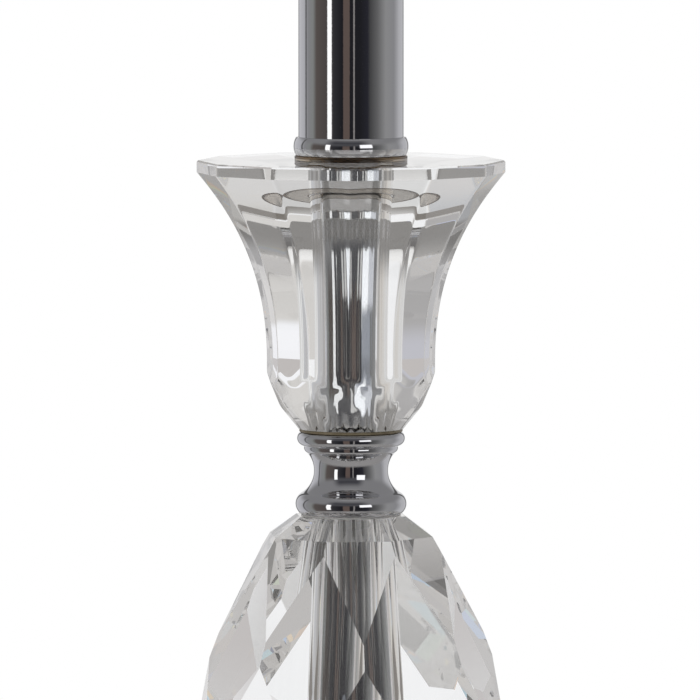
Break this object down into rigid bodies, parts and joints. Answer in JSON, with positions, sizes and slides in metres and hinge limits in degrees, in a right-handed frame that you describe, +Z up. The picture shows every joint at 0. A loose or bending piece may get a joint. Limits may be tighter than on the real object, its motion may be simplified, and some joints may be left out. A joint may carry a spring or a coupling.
{
  "type": "table lamp",
  "caption": "Table lamp stem of cut crystal and chrome: faceted pear body, turned spool, flared panelled cup, straight neck tube and a screw lamp holder with a shade ring, on a round foot.",
  "frame": {"origin": "middle of the felt's underside, on the column's axis", "axes": "+Z up along the column, -Y is the front that the picture shows, the cord inlet faces +Y"},
  "size_m": [0.134, 0.134, 0.4312],
  "materials": {
    "chrome_plate": "polished chrome plate",
    "bright_steel": "bright nickel-plated tube",
    "zinc_steel": "zinc-plated steel",
    "crystal": "polished cut crystal",
    "amber_gasket": "soft amber gasket",
    "clear_gasket": "soft clear gasket",
    "felt": "dark wool felt",
    "iron": "black painted cast iron",
    "bush_plastic": "black moulded plastic",
    "core_plastic": "off-white thermoset",
    "brass": "plain brass"
  },
  "bodies": {
    "lamp": {"felt_pad": "felt", "base_shell": "chrome_plate", "base_weight": "iron", "base_washer": "zinc_steel", "base_nut": "zinc_steel", "cord_bush": "bush_plastic", "base_collar": "chrome_plate", "body_gasket_lower": "clear_gasket", "crystal_body": "crystal", "body_gasket_upper": "clear_gasket", "spool": "chrome_plate", "cup_gasket_lower": "amber_gasket", "crystal_cup": "crystal", "cup_gasket_upper": "amber_gasket", "sleeve": "bright_steel", "threaded_rod": "zinc_steel", "tube_seat": "chrome_plate", "neck_tube": "chrome_plate", "tube_cap": "chrome_plate", "column_nut": "chrome_plate", "holder_cap": "chrome_plate", "grub_screw": "zinc_steel", "holder_shell": "chrome_plate", "holder_core": "core_plastic", "screw_shell": "brass", "contact_foot": "brass", "terminal_blocks": "brass", "terminal_screws": "zinc_steel"},
    "shade_ring": {"shade_ring": "chrome_plate"},
    "contact_tongue": {"contact_tongue": "brass"}
  },
  "joints": [
    {"name": "shade_ring_lift", "type": "slide", "parent": "lamp", "child": "shade_ring", "axis": [0, 0, 1], "range_m": [0, 0.032]},
    {"name": "contact_flex", "type": "hinge", "parent": "lamp", "child": "contact_tongue", "pos_m": [-0.00282, 0, 0.40185], "axis": [0, 1, 0], "range_deg": [0, 14], "stiffness_Nm_per_rad": 0.3}
  ]
}
